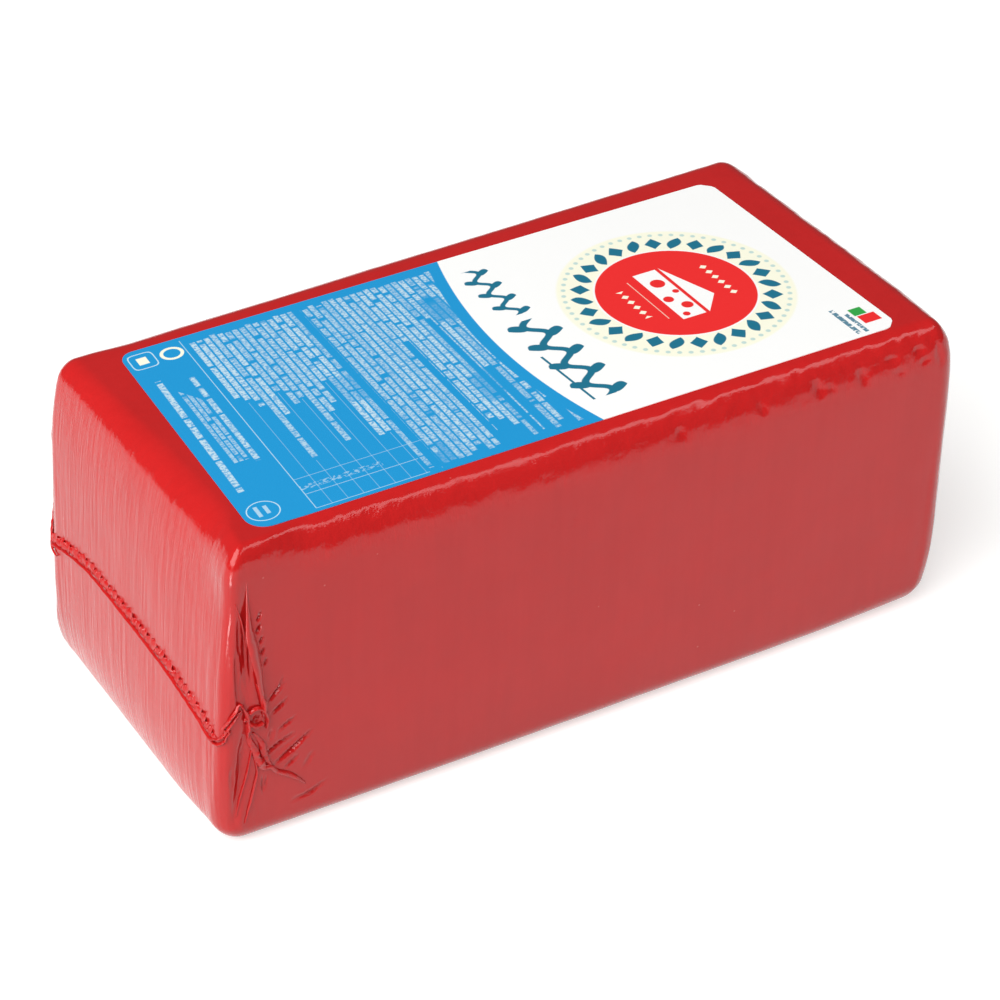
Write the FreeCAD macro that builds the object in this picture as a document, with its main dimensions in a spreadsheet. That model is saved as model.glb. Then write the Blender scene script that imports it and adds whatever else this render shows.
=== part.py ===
import FreeCAD, Part
import os
from types import SimpleNamespace
import Sketcher

# A loaf of edam cheese, sealed in tight film, with a label on its flat top.
# X runs along the loaf, the front face looks along -Y, and the base lies on Z = 0 with the
# origin under the middle of the loaf. All sizes are in millimetres.

drivingSizes = {
    # The loaf, measured between the rims of its faces.
    "loaf_length": 245,
    "loaf_width": 120,
    "loaf_height": 103,
    # How far the middle of each face swells past its rims, and how far the rims bow in plan.
    "left_swell": 7,
    "right_swell": 2,
    "front_swell": 2.8,
    "back_swell": 2,
    "rim_bow": 0.4,
    # The front corner of the left end spreads outwards at its foot.
    "foot_reach": 7,
    "upright_round": 8,
    "top_round": 6.5,
    "base_round": 7,
    # The label's margins, in from the rims. Its left end is cut out of square by the slant.
    "label_left_margin": 7.5,
    "label_right_margin": 17,
    "label_front_margin": 7,
    "label_back_margin": 11,
    "label_slant": 10.5,
    "label_thickness": 0.2,
    "label_front_corner": 8,
    "label_back_corner": 4,
    "label_right_corner": 2,
    # Doubled film, which makes the end seals and the ears folded onto the long faces.
    "fold_thickness": 1.2,
    # The left end seal: the height of its lower edge at its crown, and its drop to the corners.
    "seal_crown_height": 48,
    "seal_front_drop": 10,
    "seal_back_drop": 6,
    "seal_crown_offset": 8,
    "seal_band": 6,
    "seal_end_band": 3.5,
    "seal_wrap": 3,
    "right_seal_height": 49,
    # The ears, measured along the long face from the rim of the left end, up and down from the
    # seal at the front corner, down from the top, and up from the rounded rim of the base.
    "ear_width": 6.5,
    "ear_tip_drop": 17,
    "ear_rise": 6,
    "ear_fall": 2,
    "tail_bend": 12,
    "tail_bend_lift": 12,
    "tail_reach": 25,
    "tail_lift": 3,
    "tail_width": 4.5,
}

doc = FreeCAD.newDocument("cheese_loaf")
sheet = doc.addObject("Spreadsheet::Sheet", "sizes")
for row, (alias, number) in enumerate(drivingSizes.items(), 1):
    sheet.set(f"A{row}", alias)
    sheet.set(f"B{row}", str(number))
    sheet.setAlias(f"B{row}", alias)
doc.recompute()


class Amount:
    """A number that keeps the sheet expression it comes from."""

    def __init__(self, number, text):
        self.number = number
        self.text = text

    def __add__(self, other):
        other = asAmount(other)
        return Amount(self.number + other.number, f"({self.text} + {other.text})")

    def __sub__(self, other):
        other = asAmount(other)
        return Amount(self.number - other.number, f"({self.text} - {other.text})")

    def __mul__(self, other):
        other = asAmount(other)
        return Amount(self.number * other.number, f"({self.text} * {other.text})")

    def __truediv__(self, other):
        other = asAmount(other)
        return Amount(self.number / other.number, f"({self.text} / {other.text})")

    def __neg__(self):
        return Amount(-self.number, f"(0 - {self.text})")


def asAmount(value):
    return value if isinstance(value, Amount) else Amount(value, str(value))


size = SimpleNamespace(**{
    alias: Amount(float(sheet.get(alias)), f"sizes.{alias}") for alias in drivingSizes
})


# ---- sketches and features -------------------------------------------------------------------


def newBody(name):
    body = doc.addObject("PartDesign::Body", name)
    body.Label = name
    return body


def newSketch(body, name, plane, lift=None):
    """A sketch on one of the body's origin planes, lifted along the plane's normal."""
    sketch = body.newObject("Sketcher::SketchObject", name)
    face = next(part for part in body.Origin.OriginFeatures if part.Role == plane)
    sketch.AttachmentSupport = [(face, "")]
    sketch.MapMode = "FlatFace"
    if lift is not None:
        sketch.AttachmentOffset = FreeCAD.Placement(FreeCAD.Vector(0, 0, lift.number), FreeCAD.Rotation())
        sketch.setExpression("AttachmentOffset.Base.z", lift.text)
    return sketch


def bind(sketch, constraint, amount):
    """Adds a constraint whose value follows an amount's expression."""
    index = sketch.addConstraint(Sketcher.Constraint(*constraint, amount.number))
    sketch.setExpression(f"Constraints[{index}]", amount.text)


def pin(sketch, edge, place, axisName, otherAxis):
    """Holds the start of an edge at a signed distance from the origin."""
    if place.number == 0:
        sketch.addConstraint(Sketcher.Constraint("PointOnObject", edge, 1, otherAxis))
    elif place.number > 0:
        bind(sketch, (axisName, -1, 1, edge, 1), place)
    else:
        bind(sketch, (axisName, edge, 1, -1, 1), -place)


def drawOutline(sketch, corners, bows=None):
    """Draws a closed outline, anticlockwise, whose sides bow outwards by the given amounts."""
    count = len(corners)
    for index, (x, y) in enumerate(corners):
        start = FreeCAD.Vector(x.number, y.number, 0)
        nextX, nextY = corners[(index + 1) % count]
        end = FreeCAD.Vector(nextX.number, nextY.number, 0)
        bow = bows[index] if bows else None
        if bow is None:
            sketch.addGeometry(Part.LineSegment(start, end), False)
            continue
        along = (end - start).normalize()
        outward = FreeCAD.Vector(along.y, -along.x, 0)
        middle = (start + end) * 0.5 + outward * bow.number
        sketch.addGeometry(Part.Arc(start, middle, end), False)
    for index, (x, y) in enumerate(corners):
        sketch.addConstraint(Sketcher.Constraint("Coincident", index, 2, (index + 1) % count, 1))
        pin(sketch, index, x, "DistanceX", -2)
        pin(sketch, index, y, "DistanceY", -1)
    for index, bow in enumerate(bows or []):
        if bow is not None:
            (x, y), (nextX, nextY) = corners[index], corners[(index + 1) % count]
            runX, runY = nextX - x, nextY - y
            squaredChord = runX * runX + runY * runY
            bind(sketch, ("Radius", index), squaredChord / (bow * 8) + bow / 2)


def pad(body, sketch, length, backwards=False):
    feature = body.newObject("PartDesign::Pad", f"{body.Name}_pad")
    feature.Profile = sketch
    feature.Length = length.number
    feature.setExpression("Length", length.text)
    feature.Reversed = backwards
    doc.recompute()
    return feature


def roundEdges(body, name, wanted, radius):
    """Rounds the edges of the body whose bounding boxes are wanted."""
    base = body.Tip
    edges = enumerate(base.Shape.Edges, 1)
    feature = body.newObject("PartDesign::Fillet", f"{body.Name}_{name}")
    feature.Base = (base, [f"Edge{index}" for index, edge in edges if wanted(edge.BoundBox)])
    feature.Radius = radius.number
    feature.setExpression("Radius", radius.text)
    doc.recompute()


# ---- the loaf --------------------------------------------------------------------------------


def loftLoaf(name, grow):
    """A barrel-sided block through three level outlines, grown sideways by a constant."""
    halfLength, halfWidth = size.loaf_length / 2 + grow, size.loaf_width / 2 + grow
    levels = []
    # Each level has its share of the height, of the swelling and of the spreading foot.
    for level, heightShare, swelling, footShare in (
        ("base", 0.0, 0.0, 1.0),
        ("waist", 0.5, 0.5, 0.5),
        ("rim", 1.0, 0.0, 0.0),
    ):
        left = halfLength + size.left_swell * swelling
        right = halfLength + size.right_swell * swelling
        front = halfWidth + size.front_swell * swelling
        back = halfWidth + size.back_swell * swelling
        swells = (size.front_swell, size.right_swell, size.back_swell, size.left_swell)
        sketch = doc.addObject("Sketcher::SketchObject", f"{name}_{level}")
        sketch.setExpression("Placement.Base.z", (size.loaf_height * heightShare).text)
        drawOutline(sketch, [
            (-(left + size.foot_reach * footShare), -front),
            (right, -front),
            (right, back),
            (-left, back),
        ], [size.rim_bow + swell * swelling for swell in swells])
        levels.append(sketch)
    loft = doc.addObject("Part::Loft", f"{name}_loft")
    loft.Sections = levels
    loft.Solid = True
    doc.recompute()
    return loft


def roundLoft(name, loft, grow, rimsToo):
    """Rounds the uprights of the block and, on the loaf itself, its top and base rims."""
    middle = size.loaf_height.number / 2
    radii = []
    for index, edge in enumerate(loft.Shape.Edges, 1):
        height = edge.BoundBox.Center.z
        isUpright = edge.BoundBox.ZLength > middle
        radius = size.top_round if height > middle else size.base_round
        if isUpright:
            radius = size.upright_round + grow
        if isUpright or rimsToo:
            radii.append((index, radius.number, radius.number))
    rounded = doc.addObject("Part::Fillet", name)
    rounded.Base = loft
    rounded.Edges = radii
    rounded.Label = name
    doc.recompute()
    return rounded


def makeLoaf():
    nothing = asAmount(0.0)
    return roundLoft("cheese_loaf", loftLoaf("loaf", nothing), nothing, True)


def makeSkin():
    """The block that the doubled film reaches out to, from which its folds are cut."""
    return roundLoft("film_skin", loftLoaf("skin", size.fold_thickness), size.fold_thickness, False)


# ---- the label -------------------------------------------------------------------------------


def makeLabel():
    """A thin plate face to face with the flat top, whose left end leans inwards at the back."""
    body = newBody("label")
    sketch = newSketch(body, "label_outline", "XY_Plane", size.loaf_height)
    left = size.label_left_margin - size.loaf_length / 2
    right = size.loaf_length / 2 - size.label_right_margin
    front = size.label_front_margin - size.loaf_width / 2
    back = size.loaf_width / 2 - size.label_back_margin
    drawOutline(sketch, [(left, front), (right, front), (right, back), (left + size.label_slant, back)])
    pad(body, sketch, size.label_thickness)

    def standsAt(left, front):
        def wanted(box):
            isStanding = box.ZLength > size.label_thickness.number / 2
            narrow = max(box.XLength, box.YLength) < 0.01
            return isStanding and narrow and (box.XMin < 0) == left and (box.YMin < 0) in front
        return wanted

    roundEdges(body, "front_corner", standsAt(True, (True,)), size.label_front_corner)
    roundEdges(body, "back_corner", standsAt(True, (False,)), size.label_back_corner)
    roundEdges(body, "right_corners", standsAt(False, (True, False)), size.label_right_corner)
    return body


# ---- folds of doubled film -------------------------------------------------------------------


def patchOfSkin(name, skin, prism, loaf, apart=None):
    """The part of the skin inside a prism, less the loaf beneath and any fold it butts against."""
    patch = doc.addObject("Part::Common", f"{name}_patch")
    patch.Base, patch.Tool = skin, prism
    fold = doc.addObject("Part::Cut", name)
    fold.Base, fold.Tool = patch, loaf
    if apart is not None:
        whole = fold
        whole.Label = f"{name}_whole"
        fold = doc.addObject("Part::Cut", f"{name}_trimmed")
        fold.Base, fold.Tool = whole, apart
    fold.Label = name
    doc.recompute()
    return fold


def makeLeftSeal(skin, loaf):
    """A crimped band across the left end that arches to its crown and wraps both corners."""
    prism = newBody("seal_left_prism")
    reach = size.loaf_width / 2 + size.front_swell + size.fold_thickness + 1
    sketch = newSketch(prism, "seal_left_outline", "YZ_Plane", -(size.loaf_length / 2 - size.seal_wrap))
    frontHeight = size.seal_crown_height - size.seal_front_drop
    backHeight = size.seal_crown_height - size.seal_back_drop
    drawOutline(sketch, [
        (-reach, frontHeight),
        (size.seal_crown_offset, size.seal_crown_height),
        (reach, backHeight),
        (reach, backHeight + size.seal_end_band),
        (size.seal_crown_offset, size.seal_crown_height + size.seal_band),
        (-reach, frontHeight + size.seal_end_band),
    ])
    pad(prism, sketch, size.left_swell + size.foot_reach + size.loaf_width / 4, True)
    return patchOfSkin("end_seal_left", skin, prism, loaf)


def makeRightSeal(skin, loaf):
    """A straight crimped band across the right end, between its rounded uprights."""
    prism = newBody("seal_right_prism")
    half = size.loaf_width / 2 - size.upright_round
    sketch = newSketch(prism, "seal_right_outline", "YZ_Plane", size.loaf_length / 2 - size.upright_round)
    drawOutline(sketch, [
        (-half, size.right_seal_height),
        (half, size.right_seal_height),
        (half, size.right_seal_height + size.seal_band),
        (-half, size.right_seal_height + size.seal_band),
    ])
    pad(prism, sketch, size.right_swell + size.upright_round * 2)
    return patchOfSkin("end_seal_right", skin, prism, loaf)


def makeEar(name, skin, loaf, seal, onFront):
    """A folded triangle of film on a long face, with a tail that runs down along the face."""
    prism = newBody(f"{name}_prism")
    rim = -(size.loaf_length / 2)
    tip = size.loaf_height - size.ear_tip_drop
    sealHeight = size.seal_crown_height - size.seal_front_drop
    foot = sealHeight - size.ear_fall
    bend = size.base_round + size.tail_bend_lift
    end = size.base_round + size.tail_lift
    sketch = newSketch(prism, f"{name}_outline", "XZ_Plane")
    drawOutline(sketch, [
        (rim, foot),
        (rim + size.tail_bend - size.tail_width, bend),
        (rim + size.tail_reach - size.tail_width, end),
        (rim + size.tail_reach, end + size.tail_width / 2),
        (rim + size.tail_bend, bend + size.tail_width / 2),
        (rim + size.ear_width, foot),
        (rim + size.ear_width, sealHeight + size.ear_rise),
        (rim + size.ear_width / 6, tip),
        (rim, tip),
    ])
    # The plane's normal is -Y, so an unreversed pad runs to the front.
    pad(prism, sketch, size.loaf_width, not onFront)
    return patchOfSkin(name, skin, prism, loaf, seal)


# ---- the parts, and their files --------------------------------------------------------------


loaf = makeLoaf()
skin = makeSkin()
leftSeal = makeLeftSeal(skin, loaf)
parts = [
    loaf,
    makeLabel(),
    leftSeal,
    makeRightSeal(skin, loaf),
    makeEar("film_ear_front", skin, loaf, leftSeal, True),
    makeEar("film_ear_back", skin, loaf, leftSeal, False),
]
doc.recompute()

for item in doc.Objects:
    if "Invalid" in item.State or "Error" in item.State:
        raise RuntimeError(f"{item.Label} failed: {item.State}")
for part in parts:
    if part.Shape.isNull() or not part.Shape.isValid() or len(part.Shape.Solids) != 1:
        raise RuntimeError(f"{part.Label} is not one valid solid")

os.makedirs("parts", exist_ok=True)
for part in parts:
    part.Shape.exportStep(f"parts/{part.Label}.step")
    box = part.Shape.BoundBox
    volume = part.Shape.Volume / 1000
    print(f"{part.Label}: {box.XLength:.1f} x {box.YLength:.1f} x {box.ZLength:.1f} mm, {volume:.1f} cm3")
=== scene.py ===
import math

import bmesh
import bpy
from mathutils import Matrix, Vector
from mathutils.bvhtree import BVHTree
from mathutils.noise import noise as blenderNoise


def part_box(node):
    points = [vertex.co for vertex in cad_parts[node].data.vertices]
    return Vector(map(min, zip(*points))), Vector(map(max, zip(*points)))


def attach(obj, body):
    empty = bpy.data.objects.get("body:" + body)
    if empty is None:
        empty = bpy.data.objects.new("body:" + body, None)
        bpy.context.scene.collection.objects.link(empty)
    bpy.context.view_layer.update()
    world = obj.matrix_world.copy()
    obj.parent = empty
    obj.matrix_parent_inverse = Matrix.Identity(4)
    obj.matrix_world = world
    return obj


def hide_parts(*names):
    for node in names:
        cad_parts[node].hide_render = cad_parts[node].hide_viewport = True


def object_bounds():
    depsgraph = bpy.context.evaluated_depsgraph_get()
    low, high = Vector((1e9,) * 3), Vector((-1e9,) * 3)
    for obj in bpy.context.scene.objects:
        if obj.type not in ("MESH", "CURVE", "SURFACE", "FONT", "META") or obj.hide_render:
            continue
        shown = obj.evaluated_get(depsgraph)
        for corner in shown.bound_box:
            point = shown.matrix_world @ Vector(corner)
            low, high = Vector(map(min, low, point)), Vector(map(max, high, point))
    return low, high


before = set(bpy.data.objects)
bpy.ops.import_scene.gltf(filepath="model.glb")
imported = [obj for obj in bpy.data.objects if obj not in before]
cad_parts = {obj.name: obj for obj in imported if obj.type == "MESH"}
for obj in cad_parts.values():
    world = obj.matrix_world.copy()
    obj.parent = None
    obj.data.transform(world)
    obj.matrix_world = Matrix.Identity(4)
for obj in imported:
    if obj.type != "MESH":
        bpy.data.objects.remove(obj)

mm = 0.001
cadLow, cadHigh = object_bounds()
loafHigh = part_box("cheese_loaf")[1]
print("frame loaded:", sorted(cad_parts))


# sockets that can be added and multiplied, so formulas read like formulas
class Wire:
    def __init__(self, socket):
        self.tree = socket.id_data
        self.socket = socket

    def __neg__(self):
        return calc(self.tree, "MULTIPLY", self, -1)

    def between(self, low, high):
        return self.atLeast(low).atMost(high)

    def ease(self, start, end, low=0, high=1):
        node = addNode(self.tree, "ShaderNodeMapRange", {
            "Value": self, "From Min": start, "From Max": end, "To Min": low, "To Max": high,
        }, interpolation_type="SMOOTHSTEP", clamp=True)
        return Wire(node.outputs["Result"])


wireMath = {
    "__add__": "ADD", "__sub__": "SUBTRACT", "__mul__": "MULTIPLY", "__truediv__": "DIVIDE",
    "__pow__": "POWER", "__mod__": "FLOORED_MODULO", "__abs__": "ABSOLUTE",
    "__gt__": "GREATER_THAN", "__lt__": "LESS_THAN", "sine": "SINE", "cosine": "COSINE",
    "whole": "FLOOR", "root": "SQRT", "atMost": "MINIMUM", "atLeast": "MAXIMUM",
}
for method, operation in wireMath.items():
    setattr(Wire, method, lambda wire, *other, kind=operation: calc(wire.tree, kind, wire, *other))
for method, operation in {"__radd__": "ADD", "__rsub__": "SUBTRACT", "__rmul__": "MULTIPLY"}.items():
    setattr(Wire, method, lambda wire, other, kind=operation: calc(wire.tree, kind, other, wire))


def feed(tree, socket, value):
    if isinstance(value, Wire):
        tree.links.new(value.socket, socket)
    elif isinstance(value, bpy.types.NodeSocket):
        tree.links.new(value, socket)
    else:
        socket.default_value = value


def addNode(tree, kind, inputs=None, **settings):
    node = tree.nodes.new(kind)
    for name, value in settings.items():
        setattr(node, name, value)
    for name, value in (inputs or {}).items():
        feed(tree, node.inputs[name], value)
    return node


def calc(tree, operation, *values, kind="ShaderNodeMath"):
    return Wire(addNode(tree, kind, dict(enumerate(values)), operation=operation).outputs[0])


def along(operation, *values):
    return calc(values[0].tree, operation, *values, kind="ShaderNodeVectorMath")


def scaled(vector, factor):
    node = addNode(vector.tree, "ShaderNodeVectorMath", {"Vector": vector, "Scale": factor},
                   operation="SCALE")
    return Wire(node.outputs[0])


def joined(x, y, z):
    tree = next(value.tree for value in (x, y, z) if isinstance(value, Wire))
    return Wire(addNode(tree, "ShaderNodeCombineXYZ", {"X": x, "Y": y, "Z": z}).outputs[0])


def parted(vector):
    node = addNode(vector.tree, "ShaderNodeSeparateXYZ", {"Vector": vector})
    return [Wire(node.outputs[i]) for i in range(3)]


def noise(vector, scale, detail=2.0, roughness=0.5):
    settings = {"Vector": vector, "Scale": scale, "Detail": detail, "Roughness": roughness}
    return Wire(addNode(vector.tree, "ShaderNodeTexNoise", settings).outputs["Fac"])


def newGroup(name, kind, inputs, outputs):
    # an input is given by its default, or by its kind where it has none
    kinds = {float: "NodeSocketFloat", int: "NodeSocketInt", Vector: "NodeSocketVector"}
    tree = bpy.data.node_groups.new(name, kind)
    for label, default in inputs.items():
        socketKind = kinds.get(type(default), default)
        socket = tree.interface.new_socket(label, in_out="INPUT", socket_type=socketKind)
        if socketKind is not default:
            socket.default_value = default
    for label, socketKind in outputs.items():
        tree.interface.new_socket(label, in_out="OUTPUT", socket_type=socketKind)
    return tree


def groupInputs(tree):
    node = tree.nodes.new("NodeGroupInput")
    return {socket.name: Wire(socket) for socket in node.outputs if socket.name}


def groupOutput(tree, **values):
    addNode(tree, "NodeGroupOutput", values)


def placeGroup(tree, group, inputs):
    kind = "GeometryNodeGroup" if tree.bl_idname == "GeometryNodeTree" else "ShaderNodeGroup"
    node = addNode(tree, kind, inputs, node_tree=group)
    return {socket.name: Wire(socket) for socket in node.outputs}


floatSocket, vectorSocket = "NodeSocketFloat", "NodeSocketVector"
geometrySocket, materialSocket = "NodeSocketGeometry", "NodeSocketMaterial"


view = {
    "azimuth": -32.296, "elevation": 33.387, "roll": 1.145,       # degrees
    "distance": 1.19787, "lens": 140.585, "sensor": 36, "clip": (0.05, 20),
    "aimOffset": Vector((3.1, 1.5, -7.2)) * mm,   # from the middle of the CAD box
}


def makeCamera():
    azimuth, elevation, roll = (math.radians(view[k]) for k in ("azimuth", "elevation", "roll"))
    back = Vector((math.sin(azimuth) * math.cos(elevation), -math.cos(azimuth) * math.cos(elevation),
                   math.sin(elevation)))
    side = Vector((0, 0, 1)).cross(back).normalized()
    up = back.cross(side)
    turnedSide = side * math.cos(roll) + up * math.sin(roll)
    turnedUp = up * math.cos(roll) - side * math.sin(roll)
    data = bpy.data.cameras.new("camera")
    data.lens = view["lens"]
    data.sensor_width = view["sensor"]
    data.clip_start, data.clip_end = view["clip"]
    camera = bpy.data.objects.new("camera", data)
    bpy.context.scene.collection.objects.link(camera)
    place = (cadLow + cadHigh) / 2 + view["aimOffset"] + back * view["distance"]
    turned = Matrix((turnedSide, turnedUp, back)).transposed().to_4x4()
    camera.matrix_world = Matrix.Translation(place) @ turned
    bpy.context.scene.camera = camera


makeCamera()


# the shape the loaf has settled into: swollen sides and corners that have crept
loaf = {
    "sideBow": 2.4 * mm,        # how far the right end and the back bow out past the flat block
    "leftSwell": 4.5, "rightSwell": 2.3, "frontSwell": 2.6, "backSwell": 1.9,
    # a fullness of 2 is a round bow, and more is flatter with a quicker turn at the rims
    "endFullness": 3.8, "sideFullness": 4.5, "footEndExtra": 0.25, "footSideCut": 0.3,
    "endBowAcross": 0.1, "sideBowAlong": 0.5,     # how much the swells fade towards the upright corners
    "footFrontLeft": (-6.2, 1.5, 0.0), "footFrontRight": (-0.4, 1.2, 0.0),
    "topFrontLeft": (0.08, 0.18, 0.31), "topFrontRight": (0.31, -0.55, -0.3),
    "topBackLeft": (2.2, -1.9, -0.6), "topBackRight": (0.3, 2.7, 1.0),
    # the near top corner stands out
    "cornerTip": (-123, -61, 101), "cornerPull": (-3.4, -1.3, 0.0), "pullReach": 13,
}
halfLength = loafHigh.x - loaf["sideBow"]
halfWidth = loafHigh.y - loaf["sideBow"]
height = loafHigh.z


def makeSettledGroup():
    corners = {"Foot Front Left": (-1, -1, -1), "Foot Front Right": (1, -1, -1),
               "Top Front Left": (-1, -1, 1), "Top Front Right": (1, -1, 1),
               "Top Back Left": (-1, 1, 1), "Top Back Right": (1, 1, 1)}
    inputs = {"Point": vectorSocket, "Half Length": halfLength, "Half Width": halfWidth, "Height": height}
    for side in ("Left", "Right", "Front", "Back"):
        inputs[side + " Swell"] = loaf[side.lower() + "Swell"] * mm
    for side in ("End", "Side"):
        inputs[side + " Fullness"] = loaf[side.lower() + "Fullness"]
    for name in corners:
        key = name.replace(" ", "")
        inputs[name] = Vector(loaf[key[0].lower() + key[1:]]) * mm
    tree = newGroup("settledShape", "GeometryNodeTree", inputs, {"Point": vectorSocket})
    value = groupInputs(tree)
    x, y, z = parted(value["Point"])
    u, v, s = x / value["Half Length"], y / value["Half Width"], z / value["Height"] * 2 - 1
    moved = value["Point"]
    for name, (a, b, c) in corners.items():
        share = (u * a + 1) * (v * b + 1) * (s * c + 1) / 8
        moved = along("ADD", moved, scaled(value[name], share))
    bowU, bowV = (1 - w.between(-1, 1) ** 2 for w in (u, v))
    offMiddle = abs(s.between(-1, 1))
    bowEnd = 1 - offMiddle ** (value["End Fullness"] * (1 + loaf["footEndExtra"] * (s < 0)))
    bowSide = 1 - offMiddle ** value["Side Fullness"] * (1 - loaf["footSideCut"] * (s < 0))
    endSwell = value["Left Swell"] + (value["Right Swell"] - value["Left Swell"]) * (u > 0)
    sideSwell = value["Front Swell"] + (value["Back Swell"] - value["Front Swell"]) * (v > 0)
    across, lengthwise = loaf["endBowAcross"], loaf["sideBowAlong"]
    swell = joined(endSwell * u * bowEnd * (bowV * across + (1 - across)),
                   sideSwell * v * bowSide * (bowU * lengthwise + (1 - lengthwise)), 0)
    groupOutput(tree, Point=along("ADD", moved, swell))
    return tree


settledShape = makeSettledGroup()


def newMaterial(name):
    material = bpy.data.materials.new(name)
    material.use_nodes = True
    material.node_tree.nodes.clear()
    return material


def finishMaterial(material, inputs):
    shader = addNode(material.node_tree, "ShaderNodeBsdfPrincipled", inputs)
    addNode(material.node_tree, "ShaderNodeOutputMaterial", {"Surface": shader.outputs["BSDF"]})


def mixed(factor, a, b):
    # the colour sockets of this node are the inputs 6 and 7 and the output 2
    node = addNode(factor.tree, "ShaderNodeMix", {"Factor": factor, 6: a, 7: b}, data_type="RGBA")
    return Wire(node.outputs[2])


def bumped(height, strength, distance):
    settings = {"Height": height, "Strength": strength, "Distance": distance}
    return Wire(addNode(height.tree, "ShaderNodeBump", settings).outputs["Normal"])


def cells(point, scale):
    node = addNode(point.tree, "ShaderNodeTexVoronoi", {"Vector": point, "Scale": scale})
    return Wire(node.outputs["Distance"])


def objectPoint(tree):
    return Wire(addNode(tree, "ShaderNodeTexCoord").outputs["Object"])


def makeFilmGroup():
    # fine relief of shrunken film: crinkle and pits, with mottling and scuffed patches
    tree = newGroup("filmRelief", "ShaderNodeTree", {"Point": vectorSocket, "Crinkle": 1.0, "Pits": 1.0},
                    {"Height": floatSocket, "Mottle": floatSocket, "Scuff": floatSocket})
    value = groupInputs(tree)
    point = value["Point"]
    crinkle = noise(point, 420, 3, 0.55) * 0.6 + noise(point, 90, 2, 0.5) * 1.6
    pits = cells(point, 140).ease(0.0, 0.22, 1, 0) * noise(point, 60, 1).ease(0.55, 0.62)
    mottle = noise(point, 38, 4, 0.6)
    scuff = noise(point, 150, 5, 0.7).ease(0.5, 0.75)
    groupOutput(tree, Height=crinkle * value["Crinkle"] - pits * value["Pits"], Mottle=mottle, Scuff=scuff)
    return tree


filmRelief = makeFilmGroup()

filmLook = {
    "deep": (0.49, 0.011, 0.011, 1), "bright": (0.53, 0.013, 0.013, 1),
    "speck": (0.62, 0.16, 0.14, 1), "roughness": 0.09, "scuffing": 0.1, "ior": 1.43,
    "pleatBump": 4.5, "gatherBump": 3, "bumpStrength": 0.2, "bumpDepth": 0.3,
}


def makeFilmMaterial():
    material = newMaterial("red_film")
    tree = material.node_tree
    point = objectPoint(tree)
    relief = placeGroup(tree, filmRelief, {"Point": point, "Crinkle": 1.0, "Pits": 1.0})
    nx, _, nz = parted(Wire(addNode(tree, "ShaderNodeNewGeometry").outputs["Normal"]))
    endOn = abs(nx).ease(0.75, 0.95)
    x, y, z = parted(point)
    streak = noise(joined(x * 0.2, y, z * 0.06), 640, 3, 0.65)
    hang = noise(joined(x, y, z * 0.07), 300, 3, 0.7).ease(0.3, 0.7)
    brightness = relief["Mottle"].ease(0.3, 0.7) * 0.6 + hang * 0.4
    colour = mixed(brightness, filmLook["deep"], filmLook["bright"])
    specks = cells(point, 75).ease(0.012, 0.03, 0.45, 0)
    colour = mixed(specks, colour, filmLook["speck"])
    rollOver = nz.ease(0.02, 0.2) * (1 - nz.ease(0.5, 0.8))
    gather = noise(joined(x, y, z * 0.3), 700, 3, 0.7)
    relief["Height"] += streak * endOn * filmLook["pleatBump"] + gather * rollOver * filmLook["gatherBump"]
    finishMaterial(material, {
        "Base Color": colour,
        "Roughness": relief["Scuff"] * filmLook["scuffing"] + filmLook["roughness"],
        "IOR": filmLook["ior"],
        "Normal": bumped(relief["Height"], filmLook["bumpStrength"], filmLook["bumpDepth"] * mm),
    })
    return material


redFilm = makeFilmMaterial()


def linkObject(name, mesh, material=None):
    piece = bpy.data.objects.new(name, mesh)
    bpy.context.scene.collection.objects.link(piece)
    if material:
        mesh.materials.clear()
        mesh.materials.append(material)
    return piece


def grow(name, tree, values, holder):
    # runs a node tree on the holder object and keeps the result as a plain mesh of film
    modifier = holder.modifiers.new("nodes", "NODES")
    modifier.node_group = tree
    values = {**values, "Material": redFilm}
    for item in tree.interface.items_tree:
        if item.item_type == "SOCKET" and item.in_out == "INPUT" and item.name in values:
            modifier[item.identifier] = values[item.name]
    graph = bpy.context.evaluated_depsgraph_get()
    mesh = bpy.data.meshes.new_from_object(holder.evaluated_get(graph))
    mesh.name = name
    holder.modifiers.remove(modifier)
    bpy.data.objects.remove(holder)
    piece = linkObject(name, mesh, redFilm)
    print(name, len(mesh.vertices), "points")
    return piece


def densityCurve(fraction, stops):
    # stops are (share of the lines used, place along the side from 0 to 1)
    node = addNode(fraction.tree, "ShaderNodeFloatCurve", {"Value": fraction})
    curve = node.mapping.curves[0]
    curve.points[0].location = stops[0]
    curve.points[-1].location = stops[-1]
    for stop in stops[1:-1]:
        curve.points.new(*stop)
    for point in curve.points:
        point.handle_type = "VECTOR"
    node.mapping.update()
    return Wire(node.outputs[0])


def finishTree(tree, mesh, position, material):
    moved = addNode(tree, "GeometryNodeSetPosition", {"Geometry": mesh, "Position": position})
    smooth = addNode(tree, "GeometryNodeSetShadeSmooth", {"Geometry": moved.outputs[0]})
    painted = addNode(tree, "GeometryNodeSetMaterial", {"Geometry": smooth.outputs[0], "Material": material})
    groupOutput(tree, Geometry=painted.outputs[0])


# the wrapped block; sizes in mm
wrap = {
    "linesLong": 168, "linesAcross": 152, "linesUp": 80,
    "sizes": {"Corner Round": 7.0, "Heel Round": 2.4, "Rim Drop": 7.0, "Lumps": 0.35, "Pleats": 0.13,
              "Rim Dents": 0.26, "Rim Gathers": 0.12, "Corner Pleats": 0.5,
              "Sharpening": 3.2},                  # how much less round the upright near corner is
    "backRimKeen": 0.45, "footRimKeen": 1.3,       # shares of that sharpening
}


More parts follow.
